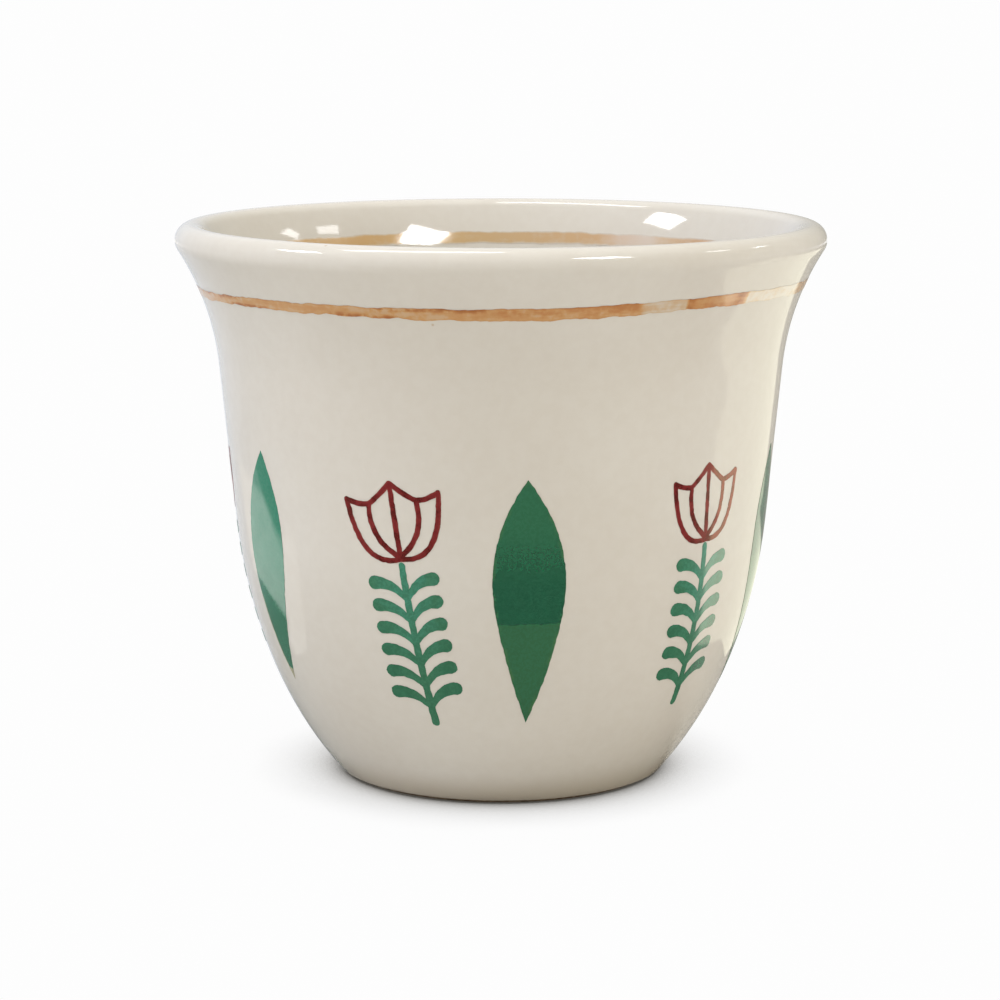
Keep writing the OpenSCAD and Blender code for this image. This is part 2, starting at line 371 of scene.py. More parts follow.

# Brushed lines: two bands of thin orange-brown colour, laid on with a loaded brush while the cup
# turned on a wheel, one under the flare and one inside the mouth. Their edges waver, and the
# colour runs from rust to washed-out tan as the brush empties. The pale stretch on the outer line's
# right, where the window shows in the glaze, is a painted reflection, and so is a paler stretch of the
# inner line a little right of the middle.
line_h = 0.0011
line_drop = 0.0061
line_tilt = 0.85
line_wave = 0.00016
line_waves = 4
thin_turn = -62
thin_share = 0.28
thin_falloff = 4
inner_line_h = 0.0013
inner_line_drop = 0.0041
line_rows = 10
line_sides = 900
enamel_proud = 0.00003
enamel_sunk = 0.00006
enamel_clear = 0.0006
enamel_roughness = 0.1
enamel_ior = 2.3

# How the brush wavered: the line's edge, the size of its waves and how far they push it
wavers = [("upper", 0.0031, 0.0004), ("lower", 0.0023, 0.0004), ("upper", 0.0008, 0.0002),
          ("lower", 0.0007, 0.0002)]

# The brush's marks: the scale of the streaks on each line, how many times longer than tall they are,
# the scale of the blots between them, the streaks' share, and how the marks change each line's paint
orange_streak_scale = 260
ochre_streak_scale = 200
streak_length = 6
blot_scale = 1500
streak_share = 0.6
orange_marks = (0.34, 0.66, -0.13, 0.13)
ochre_marks = (0.35, 0.65, 0.8, 1.1)

# The paint gathers at the outer line's two edges, and thins out at the inner line's
gathered_from_middle = (0.36, 0.5)
gathered = 0.1
ochre_lower_edge = (-0.05, 0.22)
ochre_upper_edge = (0.8, 1.05)

# The paint left on the brush round the outer line, from its left end by the front to its right end. Its
# near-bare stretch from about 49 to 68 degrees right of the front is a painted reflection of the window.
outer_load_and_window_reflection = [(0, (0.46, 0.46, 0.46, 1)), (0.636, (0.52, 0.52, 0.52, 1)), (0.642, (0.26, 0.26, 0.26, 1)),
              (0.688, (0.2, 0.2, 0.2, 1)), (0.692, (0.9, 0.9, 0.9, 1)), (0.7, (0.64, 0.64, 0.64, 1)),
              (0.755, (0.66, 0.66, 0.66, 1)), (0.768, (0.85, 0.85, 0.85, 1)), (0.772, (0.05, 0.05, 0.05, 1)),
              (0.875, (0.05, 0.05, 0.05, 1)), (0.885, (0.4, 0.4, 0.4, 1)), (1, (0.46, 0.46, 0.46, 1))]

# The outer line's colour from thin paint to thick, and the inner line's from left to right, whose pale
# stops a little right of the middle are a painted reflection
orange_stops = [(0, (0.6, 0.54, 0.45, 1)), (0.25, (0.57, 0.43, 0.28, 1)), (0.5, (0.54, 0.3, 0.12, 1)),
                (0.72, (0.48, 0.215, 0.075, 1)), (1, (0.36, 0.13, 0.04, 1))]
ochre_and_reflection_stops = [(0.17, (0.565, 0.35, 0.143, 1)), (0.4, (0.55, 0.37, 0.17, 1)), (0.5, (0.54, 0.37, 0.19, 1)),
               (0.66, (0.56, 0.37, 0.2, 1)), (0.7, (0.6, 0.46, 0.34, 1)), (0.745, (0.6, 0.5, 0.4, 1)),
               (0.77, (0.56, 0.4, 0.25, 1)), (0.88, (0.5, 0.26, 0.12, 1))]

# Strokes of more paint: where each starts and ends round the cup, in degrees, where it lies across
# the line, and how strong it is
rust_strokes = [(-70, -52, 0.5, 0.9, 0.5), (-59, -45, 0.4, 0.1, 0.6), (-32, -17, 0.5, 0.1, 0.4),
                (-24, -1, 0.5, 0.9, 0.4), (-2, 26, 0.1, 0.5, 0.16), (44, 50, 0.1, 0.4, 0.2)]
stroke_fade = 3
stroke_marks = (0.36, 0.54)


def apply_modifiers(piece):
    bpy.context.view_layer.objects.active = piece
    for modifier in list(piece.modifiers):
        bpy.ops.object.modifier_apply(modifier=modifier.name)


def on_glaze(piece, project=False):
    """Lays a thin sheet on the glaze, straight from the front or to the nearest point."""
    wrap = piece.modifiers.new("on_glaze", "SHRINKWRAP")
    wrap.target = glaze
    wrap.offset = enamel_proud
    wrap.wrap_mode = "ABOVE_SURFACE"
    if project:
        wrap.wrap_method = "PROJECT"
        wrap.use_project_y = True
        wrap.use_project_z = False
        wrap.use_positive_direction = True


def fused(piece):
    """Gives a sheet on the glaze its thickness, sunk in the glaze, and the glaze's smooth normals."""
    coat = piece.modifiers.new("coat", "SOLIDIFY")
    coat.thickness = enamel_sunk
    coat.offset = -1
    gloss = piece.modifiers.new("gloss", "DATA_TRANSFER")
    gloss.object = glaze
    gloss.use_loop_data = True
    gloss.data_types_loops = {"CUSTOM_NORMAL"}
    gloss.loop_mapping = "POLYINTERP_NEAREST"
    apply_modifiers(piece)


def cloud(name, size, colour=False):
    texture = bpy.data.textures.new(name, "CLOUDS")
    texture.noise_scale = size
    texture.noise_depth = 1
    texture.cloud_type = "COLOR" if colour else "GRAYSCALE"
    return texture


def brushed_line(name, middle, radius, drop, tall, tilt, wave, outside):
    """A band round the cup along the flare or the mouth, whose two edges waver by themselves."""
    height = cup_h - drop
    rows = [height + tall * (i / line_rows - 0.5) for i in range(line_rows + 1)]
    clear = -enamel_clear if outside else enamel_clear
    ways = [Vector((-math.sqrt(radius ** 2 - (z - middle.y) ** 2), z - middle.y)) / radius for z in rows]
    line = spun(name, [middle + (radius + clear) * way - Vector((0, height)) for way in ways], line_sides)
    foot = min(point.co.z for point in line.data.vertices)
    top = max(point.co.z for point in line.data.vertices)
    shares = [(point.co.z - foot) / (top - foot) for point in line.data.vertices]
    line.data.attributes.new("across", "FLOAT", "POINT").data.foreach_set("value", shares)
    for point in line.data.vertices:
        angle = math.atan2(point.co.x, -point.co.y)
        thin = 1 - thin_share * max(0, math.cos(angle - math.radians(thin_turn))) ** thin_falloff
        point.co.z = point.co.z * thin - wave * math.cos(line_waves * angle)
    upper = line.vertex_groups.new(name="upper")
    lower = line.vertex_groups.new(name="lower")
    for i, share in enumerate(shares):
        upper.add([i], share, "REPLACE")
        lower.add([i], 1 - share, "REPLACE")
    face = line.data.polygons[0]
    if (face.normal.xy.dot(face.center.xy) > 0) != outside:
        line.data.flip_normals()
    line.rotation_euler = (0, -math.radians(tilt), 0)
    line.location = (0, 0, height)
    bpy.ops.object.transform_apply(location=True, rotation=True)
    for edge, size, strength in wavers:
        waver = line.modifiers.new(edge, "DISPLACE")
        waver.texture = cloud(edge, size)
        waver.direction = "Z"
        waver.vertex_group = edge
        waver.strength = strength
    on_glaze(line)
    fused(line)
    return line


outer = brushed_line("outer_brushed_line", flare_mid, flare_r, line_drop, line_h, line_tilt, line_wave, True)
inner = brushed_line("inner_brushed_line", mouth_mid, mouth_r, inner_line_drop, inner_line_h, 0, 0, False)


def streaked(name, scale):
    """An enamel with its place, its share across the line and the brush marks round the cup."""
    material, wire, shader = finish(name)
    place = wire.node("ShaderNodeTexCoord", {}, {}, "Object")
    across = wire.node("ShaderNodeAttribute", {"attribute_name": "across"}, {}, "Fac")
    stretched = wire.node("ShaderNodeVectorMath", {"operation": "MULTIPLY"},
                          {0: place, 1: (1, 1, streak_length)})
    streaks = stretched.noise(scale, 3)
    blots = place.noise(blot_scale, 3)
    marks = streaks * streak_share + blots * (1 - streak_share)
    shader.inputs["Roughness"].default_value = enamel_roughness
    shader.inputs["IOR"].default_value = enamel_ior
    return material, wire, shader, place, across, marks


orange_enamel, wire, shader, place, across, marks = streaked("orange_enamel", orange_streak_scale)
x, y = (place.part(axis) for axis in "XY")
turn = wire.math("ARCTAN2", x, 0 - y) * (180 / math.pi)
# Where the load is near nothing on the right, the pale line is a painted reflection of the window
brush_load_and_reflection = wire.node("ShaderNodeValToRGB", {"stops": outer_load_and_window_reflection}, {0: turn / 180 + 0.5})
paint = brush_load_and_reflection + marks.range(*orange_marks)
for start, end, low, high, strength in rust_strokes:
    stroke = turn.range(start, start + stroke_fade) * turn.fade(end - stroke_fade, end)
    paint = paint + stroke * across.range(low, high) * marks.range(*stroke_marks) * strength
paint = paint + abs(across - 0.5).range(*gathered_from_middle) * gathered
feed(wire.node("ShaderNodeValToRGB", {"stops": orange_stops}, {0: paint}), shader, "Base Color")

ochre_enamel, wire, shader, place, across, marks = streaked("ochre_enamel", ochre_streak_scale)
full = across.range(*ochre_lower_edge) * across.fade(*ochre_upper_edge)
paint = full * marks.range(*ochre_marks)
# The paler stretch a little right of the middle of the inner line is a painted reflection
ochre = wire.node("ShaderNodeValToRGB", {"stops": ochre_and_reflection_stops}, {0: place.part("X") / (2 * rim_r) + 0.5})
feed(paint.mix(glaze_cream, ochre), shader, "Base Color")

for line, node, enamel in ((outer, "outer_line", orange_enamel), (inner, "inner_line", ochre_enamel)):
    line.data.materials.append(enamel)
    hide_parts(node)
    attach(line, "root")

# Leaves: five long leaves of green enamel round the wall, each filled in with one wash of a broad
# brush, so that it is darkest in the middle and its edge is ragged where the enamel has drawn back.
leaf_l = 0.0246
leaf_w = 0.007
border_h = 0.0099

# Each leaf's turn round the cup and lean in degrees, its lift as a share of its length, how tall and
# how wide it is, and how far its middle bows to the right as a share of its width
leaf_places = [(-60.6, -4.6, 0.065, 0.971, 0.96, -0.05), (6, 0.9, 0, 1, 1, 0.017),
               (76.6, 1, 0.01, 1, 1.04, 0.02), (151, 2, 0.02, 0.99, 1.03, -0.03),
               (229, -1, -0.01, 1.01, 0.98, 0.02)]

# The two curves of a leaf's right side, as shares of its half width and its length
leaf_low_shares = [(0, 0), (0.385, 0.145), (1, 0.43), (1, 0.59)]
leaf_high_shares = [(1, 0.59), (1, 0.737), (0.667, 0.873), (0, 1)]
drawing_y = -2 * rim_r
drawing_t = rim_r / 2
mm_per_m = 1000
paint_grid = 0.00015
ragged = 0.00007
ragged_size = 0.0006
grain_scale = 3.4
grain_twist = 0.8
grain_range = (0.4, 0.6)
leaf_top = (0.021, 0.128, 0.058, 1)
leaf_dark = (0.004, 0.085, 0.039, 1)
leaf_olive = (0.026, 0.12, 0.05, 1)
leaf_rim = (0.07, 0.17, 0.06, 1)
leaf_fresh = (0.035, 0.19, 0.095, 1)
leaf_pale_and_reflection = (0.26, 0.4, 0.31, 1)
leaf_light = (0.018, 0.19, 0.105, 1)
leaf_light_low = (0.008, 0.125, 0.055, 1)
leaf_tail = (0.36, 0.33, 0.2, 1)

# The wash of a leaf, with heights in mm of the drawing: its colour changes at a step, at a share of its
# length, and the wash is darkest just above the step and olive under it. The first leaf has a thin wash
# and no step.
leaf_steps = [0, 0.42, 0.55, 0.48, 0.4]
cloud_patch_scale = 0.5
dark_above_step = 3.5
fresh_above_step = 11
dark_wander = 0.8
step_ends = (0.3, 0.42)
step_wander = 0.6
leaf_grain = 0.22
rim_gap = (0.0001, 0.0004)
rim_heights = (8, 11, 1, 0.5)
rim_clouds = (0.4, 0.6)
rim_share = 0.7

# The thin wash has a pale outer area, which is a painted reflection of the pale cloth on the left, with
# ragged ends along two slanting lines, a bare rim on its left and a tail that is bare of green
light_climb = (5, 14)
thin_grain = 0.05
patch_low_end = (10.2, 10.8)
patch_low_slope = 0.8
patch_high_end = (11.3, 12.3)
patch_high_slope = 0.55
patch_clouds = 3
patch_grain = 0.5
patch_high_wander = 0.4
reflection_share = 0.1
reflection_cloud_share = 0.25
left_rim_gap = (0.0001, 0.0003)
left_rim_side = (-0.2, 0)
left_rim_heights = (8, 9)
left_rim_share = 0.8
tail_heights = (1.5, 2)


def curve(shares, size, steps=12):
    """Points along a curve with four control points, given as shares of a size."""
    a, b, c, d = (Vector((x * size.x, z * size.y)) for x, z in shares)
    points = []
    for i in range(steps + 1):
        t = i / steps
        u = 1 - t
        points.append(a * u ** 3 + b * 3 * u * u * t + c * 3 * u * t * t + d * t ** 3)
    return points


def drawn(name, outlines):
    """A flat drawing upright in front of the cup, with overlapping strokes fused, on a fine grid."""
    strokes = []
    for outline in outlines:
        stroke = traced(name, outline + outline[:1], drawing_y)
        bpy.ops.mesh.remove_doubles(threshold=weld_gap)
        bpy.ops.mesh.edge_face_add()
        bpy.ops.mesh.extrude_region_move(TRANSFORM_OT_translate={"value": (0, drawing_t, 0)})
        bpy.ops.mesh.select_all(action="SELECT")
        bpy.ops.mesh.normals_make_consistent(inside=False)
        bpy.ops.object.mode_set(mode="OBJECT")
        strokes.append(stroke)
    drawing = strokes[0]
    for stroke in strokes[1:]:
        union = drawing.modifiers.new("union", "BOOLEAN")
        union.operation = "UNION"
        union.solver = "EXACT"
        union.object = stroke
        apply_modifiers(drawing)
        bpy.data.objects.remove(stroke)
    low = Vector([min(point.co[i] for point in drawing.data.vertices) for i in range(3)])
    high = Vector([max(point.co[i] for point in drawing.data.vertices) for i in range(3)])
    bpy.context.view_layer.objects.active = drawing
    bpy.ops.object.mode_set(mode="EDIT")
    bpy.ops.mesh.select_mode(type="FACE")
    bpy.ops.mesh.select_all(action="DESELECT")
    bpy.ops.object.mode_set(mode="OBJECT")
    for face in drawing.data.polygons:
        face.select = face.normal.y > -0.5
    bpy.ops.object.mode_set(mode="EDIT")
    bpy.ops.mesh.delete(type="FACE")
    bpy.ops.mesh.select_mode(type="VERT")
    bpy.ops.mesh.select_all(action="SELECT")
    bpy.ops.mesh.quads_convert_to_tris()
    for way in (0, 2):
        normal = [0, 0, 0]
        normal[way] = 1
        for i in range(1, math.ceil((high[way] - low[way]) / paint_grid)):
            place = [0, 0, 0]
            place[way] = low[way] + i * paint_grid
            bpy.ops.mesh.select_all(action="SELECT")
            bpy.ops.mesh.bisect(plane_co=place, plane_no=normal)
    bpy.ops.object.mode_set(mode="OBJECT")
    map_ = drawing.data.uv_layers.new(name="drawn")
    for corner in drawing.data.loops:
        point = drawing.data.vertices[corner.vertex_index].co
        map_.data[corner.index].uv = (point.x * mm_per_m, point.z * mm_per_m)
    uses = Counter(key for face in drawing.data.polygons for key in face.edge_keys)
    rim = {i for key, count in uses.items() if count == 1 for i in key}
    rim_points = KDTree(len(rim))
    for i in rim:
        rim_points.insert(drawing.data.vertices[i].co, i)
    rim_points.balance()
    gaps = [rim_points.find(point.co)[2] for point in drawing.data.vertices]
    drawing.data.attributes.new("edge", "FLOAT", "POINT").data.foreach_set("value", gaps)
    return drawing


paint_edge = cloud("paint_edge", ragged_size, colour=True)


def painted(name, drawing, turn, lean, lift, wide=1, tall=1, bow=0, nod=0, pivot_h=0):
    """A copy of a drawing on the wall: leant, lifted, laid on from the front and turned to its place."""
    bpy.ops.object.select_all(action="DESELECT")
    drawing.select_set(True)
    bpy.context.view_layer.objects.active = drawing
    bpy.ops.object.duplicate()
    piece = bpy.context.object
    piece.name = name
    top = max(point.co.z for point in piece.data.vertices)
    for point in piece.data.vertices:
        point.co.x += 4 * bow * point.co.z * (top - point.co.z) / top ** 2
    piece.scale = (wide, 1, tall)
    bpy.ops.object.transform_apply(scale=True)
    for angle, height in ((nod, pivot_h), (lean, 0)):
        piece.location = (0, 0, -height)
        bpy.ops.object.transform_apply(location=True)
        piece.rotation_euler = (0, -math.radians(angle), 0)
        piece.location = (0, 0, height)
        bpy.ops.object.transform_apply(location=True, rotation=True)
    piece.location = (0, 0, border_h + lift)
    bpy.ops.object.transform_apply(location=True)
    on_glaze(piece, project=True)
    apply_modifiers(piece)
    piece.rotation_euler = (0, 0, math.radians(turn))
    bpy.ops.object.transform_apply(rotation=True)
    rough = piece.modifiers.new("rough", "DISPLACE")
    rough.texture = paint_edge
    rough.direction = "RGB_TO_XYZ"
    rough.strength = 2 * ragged
    on_glaze(piece)
    fused(piece)
    return piece


leaf_size = Vector((leaf_w / 2, leaf_l))
leaf_side = curve(leaf_low_shares, leaf_size) + curve(leaf_high_shares, leaf_size)[1:]
leaf_drawing = drawn("leaf_drawing", [leaf_side + [Vector((-p.x, p.y)) for p in leaf_side[-2:0:-1]]])


def grainy(name):
    """A glossy enamel with its place in the drawing, its distance from the edge and its fine grain."""
    material, wire, shader = finish(name)
    place = wire.node("ShaderNodeUVMap", {"uv_map": "drawn"}, {})
    edge = wire.node("ShaderNodeAttribute", {"attribute_name": "edge"}, {}, "Fac")
    grain = place.noise(grain_scale, twist=grain_twist).range(*grain_range)
    shader.inputs["Roughness"].default_value = enamel_roughness
    shader.inputs["IOR"].default_value = enamel_ior
    return material, wire, shader, place, edge, grain


def full_wash(step, height, edge, grain, cloudy):
    """A wash that is darkest just above its step, fresher at the tip and paler at the rim."""
    dark_to, fresh_from = step + dark_above_step, step + fresh_above_step
    step_from, step_to = (step + end for end in step_ends)
    wash = (height + cloudy * dark_wander).range(dark_to, fresh_from).mix(leaf_dark, leaf_top)
    wash = (height + cloudy * step_wander).range(step_from, step_to).mix(leaf_olive, wash)
    wash = (grain * leaf_grain).mix(wash, leaf_fresh)
    rim = edge.fade(*rim_gap) * height.range(*rim_heights) * cloudy.range(*rim_clouds)
    return (rim * rim_share).mix(wash, leaf_rim)


def thin_wash_with_reflection(side, height, edge, grain, cloudy):
    """A thin wash with a pale outer area of painted reflection, a bare rim on its left and a bare tail."""
    wander = cloudy * patch_clouds + grain * patch_grain
    reflection_patch = (height + side * patch_low_slope + wander).range(*patch_low_end)
    high_line = side + height * patch_high_slope + wander * patch_high_wander
    reflection_patch = reflection_patch * high_line.fade(*patch_high_end)
    wash = height.range(*light_climb).mix(leaf_light_low, leaf_light)
    wash = (grain * thin_grain).mix(wash, leaf_pale_and_reflection)
    # The pale outer area is a painted reflection of the cloth on the left, laid over the cloth card's own
    wash = (reflection_patch * (reflection_share + cloudy * reflection_cloud_share)).mix(wash, leaf_pale_and_reflection)
    left_rim = edge.fade(*left_rim_gap) * side.fade(*left_rim_side) * height.fade(*left_rim_heights)
    wash = (left_rim * left_rim_share).mix(wash, leaf_tail)
    return (height + cloudy).range(*tail_heights).mix(leaf_tail, wash)


for i, (turn, lean, lift, tall, wide, bow) in enumerate(leaf_places):
    leaf = painted(f"painted_leaf_{i + 1}", leaf_drawing, turn, lean, lift * leaf_l, wide, tall, bow * leaf_w)
    leaf_green, wire, shader, place, edge, grain = grainy(f"leaf_green_enamel_{i + 1}")
    side, height = (place.part(axis) for axis in "XY")
    cloudy = place.noise(cloud_patch_scale)
    if leaf_steps[i]:
        wash = full_wash(leaf_steps[i] * leaf_l * mm_per_m, height, edge, grain, cloudy)
    else:
        wash = thin_wash_with_reflection(side, height, edge, grain, cloudy)
    feed(wash, shader, "Base Color")
    leaf.data.materials.append(leaf_green)
    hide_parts(f"leaf_{i + 1}")
    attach(leaf, "root")
bpy.data.objects.remove(leaf_drawing)

# Tulips: five flower heads between the leaves, each nine strokes of a fine brush in dark red enamel,
# which pools darker here and there along a stroke.
tulip_w = 0.0095
tulip_h = 0.0074
tulip_line_w = 0.00053
tulip_maroon = (0.175, 0.014, 0.018, 1)
tulip_dark = (0.1, 0.006, 0.008, 1)
tulip_thin = (0.36, 0.08, 0.06, 1)
tulip_sheen = (1, 0.72, 0.5, 1)
pool_scale = 0.8
pool_drift_scale = 0.35
pool_drift_share = 0.6
pool_dark = (0.7, 0.95)
pool_thin = (0.65, 0.85)
thin_edge = (0.0001, 0.0002)
thin_edge_share = 0.2
tulip_grain = 0.06
stem_l = 0.0173

# Each tulip's turn round the cup and lean in degrees, its lift as a share of the stem's length, the
# nod of its head in degrees and how wide the head is
tulip_places = [(-86.5, 4.5, 0.02, -2, 1), (-15.8, 7.3, -0.033, 0, 1), (47.5, 1.5, 0, 1.5, 0.93),
                (113, -1, -0.01, -2, 1.02), (190, 3, -0.04, 2, 0.97)]

# The strokes of a tulip's right half, as shares of its half width and its height
vein_shares = [(0, 0.03), (0, 0.3), (0, 0.7), (0, 1)]
inner_petal_shares = [(0, 0.03), (0.41, 0.19), (0.58, 0.43), (0.515, 0.75)]
outer_petal_shares = [(0, 0), (0.59, -0.07), (0.92, 0.21), (1, 0.83)]
middle_edge_shares = [(0.515, 0.75), (0.34, 0.82), (0.17, 0.91), (0, 1)]
side_edge_shares = [(0.515, 0.75), (0.68, 0.75), (0.84, 0.78), (1, 0.83)]


def brush_stroke(points, start_w, end_w, cap_turn=30):
    """Outline of a stroke with round ends along points, which widens from start_w to end_w."""
    last = len(points) - 1
    ways = [direction(points[max(i - 1, 0)], points[min(i + 1, last)]) for i in range(last + 1)]
    halves = [(start_w + (end_w - start_w) * i / last) / 2 for i in range(last + 1)]
    right = [points[i] + halves[i] * towards(ways[i] - 90) for i in range(1, last)]
    left = [points[i] + halves[i] * towards(ways[i] + 90) for i in range(last - 1, 0, -1)]
    return (right + arc(points[last], halves[last], ways[last] - 90, ways[last] + 90, cap_turn)
            + left + arc(points[0], halves[0], ways[0] + 90, ways[0] + 270, cap_turn))


def mirrored(shares):
    return [(-x, z) for x, z in shares]


tulip_size = Vector((tulip_w / 2, tulip_h))
tulip_curves = [vein_shares]
for shares in (inner_petal_shares, outer_petal_shares, middle_edge_shares, side_edge_shares):
    tulip_curves += [shares, mirrored(shares)]
tulip_strokes = []
for shares in tulip_curves:
    line = [point + Vector((0, stem_l)) for point in curve(shares, tulip_size)]
    tulip_strokes.append(brush_stroke(line, tulip_line_w, tulip_line_w))
tulip_drawing = drawn("tulip_drawing", tulip_strokes)
tulip_red, wire, shader, place, edge, grain = grainy("tulip_red_enamel")
pooled = place.noise(pool_scale) + place.noise(pool_drift_scale, 1) * pool_drift_share
red = pooled.range(*pool_dark).mix(tulip_maroon, tulip_dark)
red = (edge.fade(*thin_edge) * pooled.fade(*pool_thin) * thin_edge_share).mix(red, tulip_thin)
feed((grain * tulip_grain).mix(red, tulip_thin), shader, "Base Color")
shader.inputs["Specular Tint"].default_value = tulip_sheen
for i, (turn, lean, lift, nod, wide) in enumerate(tulip_places):
    tulip = painted(f"painted_tulip_{i + 1}", tulip_drawing, turn, lean, lift * stem_l, wide,
                    nod=nod, pivot_h=stem_l)
    tulip.data.materials.append(tulip_red)
    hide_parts(f"tulip_{i + 1}")
    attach(tulip, "root")
bpy.data.objects.remove(tulip_drawing)

# Sprigs: under each tulip a green stem with six pairs of leaflets, each one dab of the brush that
# starts thin at the stem and ends in a round blob.
stem_w = 0.00075
stem_tip_share = 0.85
stem_steps = 12
sprig_thin = (0.048, 0.19, 0.1, 1)
sprig_high = (0.055, 0.25, 0.155, 1)
sprig_full = (0.03, 0.15, 0.075, 1)
sprig_dark = (0.02, 0.105, 0.055, 1)
first_pair_h = 0.00215
last_pair_drop = 0.0039
leaflet_reach = 0.0031
leaflet_rise = 0.00175
leaflet_w = 0.00135
leaflet_root_share = 0.35
right_reach_share = 0.93
leaflet_shares = [(0, -0.1), (0.25, 0.62), (0.58, 0.99), (1, 1)]
paint_gap = 0.00006
pairs = 6
dab_cloud_scale = 0.9
dab_cloud_share = 0.5
blob_reach = (1, 2.9)
blob_share = 0.6
thin_climb = (5, 14)
full_climb = (5, 16)
sprig_grain = 0.35

tip_h = stem_l - tulip_line_w / 2 - paint_gap - stem_w * stem_tip_share / 2
stem = [Vector((0, stem_w / 2)).lerp(Vector((0, tip_h)), i / stem_steps) for i in range(stem_steps + 1)]
sprig_strokes = [brush_stroke(stem, stem_w, stem_w * stem_tip_share)]
for i in range(pairs):
    root = Vector((0, first_pair_h + i * (stem_l - first_pair_h - last_pair_drop) / (pairs - 1)))
    for reach in (-leaflet_reach, leaflet_reach * right_reach_share):
        line = [root + point for point in curve(leaflet_shares, Vector((reach, leaflet_rise)))]
        sprig_strokes.append(brush_stroke(line, leaflet_w * leaflet_root_share, leaflet_w))
sprig_drawing = drawn("sprig_drawing", sprig_strokes)
sprig_green, wire, shader, place, _, grain = grainy("sprig_green_enamel")
side, height = (place.part(axis) for axis in "XY")
cloudy = place.noise(dab_cloud_scale).range(*noise_middle)
pooled = abs(side).range(*blob_reach) * blob_share + cloudy * dab_cloud_share
thin = height.range(*thin_climb).mix(sprig_thin, sprig_high)
full = height.range(*full_climb).mix(sprig_full, sprig_thin)
green = pooled.mix(thin, full)
feed((grain * sprig_grain).mix(green, sprig_dark), shader, "Base Color")
for i, (turn, lean, lift) in enumerate(tulip_place[:3] for tulip_place in tulip_places):
    sprig = painted(f"painted_sprig_{i + 1}", sprig_drawing, turn, lean, lift * stem_l)
    sprig.data.materials.append(sprig_green)
    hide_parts(f"sprig_{i + 1}")
    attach(sprig, "root")
bpy.data.objects.remove(sprig_drawing)

# Floor and sky: a plain white floor that keeps the cup's soft shadow, under a pale sky that is darker
# in front. Camera and reflections see both as plain white, and the cup gets the light of a table.
floor_size = 6
floor_white = (0.985, 0.985, 0.985, 1)
floor_table = (0.78, 0.77, 0.745, 1)
floor_lit = (0.93, 0.91, 0.88, 1)
floor_lit_x = (0, 0.035)
shade_samples = 16
shade_reach = 0.017
shade_lean = (0, 0.55, 1)
shade_stops = [(0.2, (0.08, 0.075, 0.065, 1)), (0.25, (0.33, 0.32, 0.305, 1)), (0.3, (0.5, 0.49, 0.475, 1)),
               (0.35, (0.645, 0.637, 0.625, 1)), (0.42, (0.785, 0.78, 0.772, 1)),
               (0.5, (0.89, 0.888, 0.886, 1)), (0.62, (0.98, 0.98, 0.98, 1)), (1, floor_white)]
sky_front = (0.19, 0.175, 0.15, 1)
sky_left = (0.41, 0.48, 0.7, 1)
sky_right = (0.6, 0.59, 0.57, 1)
sky_top = (1.12, 1.11, 1.1, 1)
sky_front_end = 0.2
sky_top_start = 0.8


def seen_white(wire):
    """1 for rays from the camera and in reflections, where floor and sky are plain white."""
    rays = [wire.node("ShaderNodeLightPath", {}, {}, output)
            for output in ("Is Camera Ray", "Is Glossy Ray", "Is Transmission Ray")]
    return rays[0] + rays[1] + rays[2]


def shown(wire, surface):
    """Makes a shader node the surface of its material."""
    wire.tree.links.new(surface.socket, wire.tree.nodes["Material Output"].inputs["Surface"])


bpy.ops.object.select_all(action="DESELECT")
bpy.ops.mesh.primitive_plane_add(size=floor_size)
ground = bpy.context.object
ground.name = "floor"
white_floor, wire, _ = finish("white_floor")
open_sky = wire.node("ShaderNodeAmbientOcclusion", {"samples": shade_samples},
                     {"Distance": shade_reach, "Normal": shade_lean}, 1)
shade = wire.node("ShaderNodeValToRGB", {"stops": shade_stops}, {0: open_sky})
place = wire.node("ShaderNodeTexCoord", {}, {}, "Object")
# The table is painted lighter on the right: a painted pool of the window's light, which the cup picks up
lit = place.part("X").range(*floor_lit_x)
table = wire.node("ShaderNodeBsdfDiffuse", {}, {"Color": lit.mix(floor_table, floor_lit)})
white = wire.node("ShaderNodeEmission", {}, {"Color": shade})
shown(wire, wire.node("ShaderNodeMixShader", {}, {0: seen_white(wire), 1: table, 2: white}))
ground.data.materials.append(white_floor)

world = bpy.data.worlds.new("sky")
world.use_nodes = True
bpy.context.scene.world = world
wire = Wire(world.node_tree)
way = wire.node("ShaderNodeTexCoord", {}, {}, "Generated")
sides, depths, heights = (way.part(axis) for axis in "XYZ")
sky = sides.range(-1, 1).mix(sky_left, sky_right)
sky = depths.range(-1, sky_front_end).mix(sky_front, sky)
sky = heights.range(0, sky_top_start).mix(sky, sky_top)
feed(seen_white(wire).mix(sky, floor_white), world.node_tree.nodes["Background"], "Color")

# Lamps: three soft round lamps on the cup, one in front and one at each side. Each has its turn round
# the cup and its rise in degrees, its distance and size in metres, its watts and its colour.
lamps = [("front_lamp", 0, 55, 0.6, 0.35, 0.5, (1, 0.98, 0.91)),
         ("left_lamp", -80, 50, 0.6, 0.3, 1.85, (0.92, 0.97, 1.15)),
         ("right_lamp", 77, 50, 0.6, 0.3, 0.8, (1, 0.99, 0.99))]


def placed(turn, rise, distance):
    """A place in front of the cup, turned round it to the right and raised, in degrees."""
    turn, rise = math.radians(turn), math.radians(rise)
    across = distance * math.cos(rise)
    return Vector((across * math.sin(turn), -across * math.cos(turn), distance * math.sin(rise)))


def facing(turn, rise):
    """The rotation of a lamp that looks at the cup from there."""
    return (math.radians(90 - rise), 0, math.radians(turn))


for name, turn, rise, distance, size, watts, colour in lamps:
    bpy.ops.object.light_add(type="AREA", location=placed(turn, rise, distance), rotation=facing(turn, rise))
    lamp = bpy.context.object
    lamp.name = name
    lamp.data.shape = "DISK"
    lamp.data.size = size
    lamp.data.energy = watts
    lamp.data.color = colour
    lamp.visible_glossy = False

